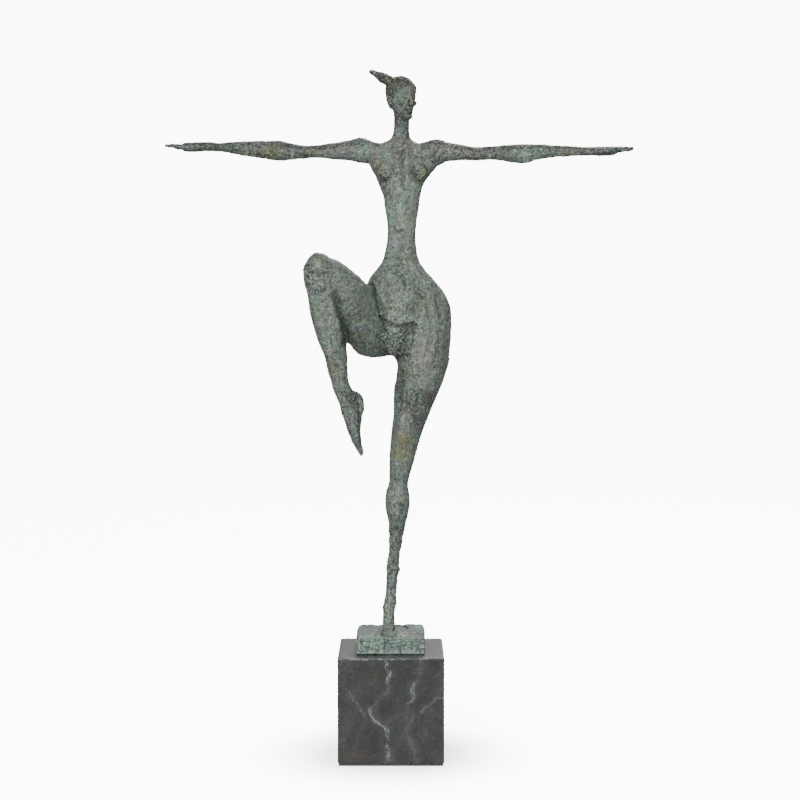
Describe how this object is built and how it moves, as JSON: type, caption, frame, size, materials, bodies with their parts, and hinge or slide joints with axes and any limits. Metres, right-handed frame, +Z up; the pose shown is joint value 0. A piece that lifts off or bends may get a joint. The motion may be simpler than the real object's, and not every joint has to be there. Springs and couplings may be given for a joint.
{
  "type": "bronze dancer statuette",
  "caption": "Cast bronze figure of a dancer balancing on one leg with arms outstretched, on a bronze ground plate bolted to a black marble cube. Ornament for a shelf or table.",
  "frame": {"origin": "middle of the felt's underside, where the statuette stands", "axes": "+Z up, -Y the way the torso faces, +X towards the figure's left hand"},
  "size_m": [0.4501, 0.131, 0.6629],
  "materials": {
    "patinated_bronze": "cast bronze with a mottled grey-green patina, dark in the crevices and rubbed brown on the high points",
    "black_marble": "polished black marble with thin pale veins",
    "zinc_steel": "zinc-plated steel",
    "black_felt": "wool felt"
  },
  "bodies": {
    "root": {"head_casting": "patinated_bronze", "torso_casting": "patinated_bronze", "right_arm_casting": "patinated_bronze", "left_arm_casting": "patinated_bronze", "hip_casting": "patinated_bronze", "raised_leg_casting": "patinated_bronze", "standing_leg_casting": "patinated_bronze", "ground_plate_casting": "patinated_bronze", "neck_dowel": "zinc_steel", "right_shoulder_dowel": "zinc_steel", "left_shoulder_dowel": "zinc_steel", "foot_dowel": "zinc_steel", "marble_block": "black_marble", "felt_pad": "black_felt", "right_stud": "zinc_steel", "left_stud": "zinc_steel", "right_washer": "zinc_steel", "left_washer": "zinc_steel", "right_nut": "zinc_steel", "left_nut": "zinc_steel"}
  },
  "joints": []
}
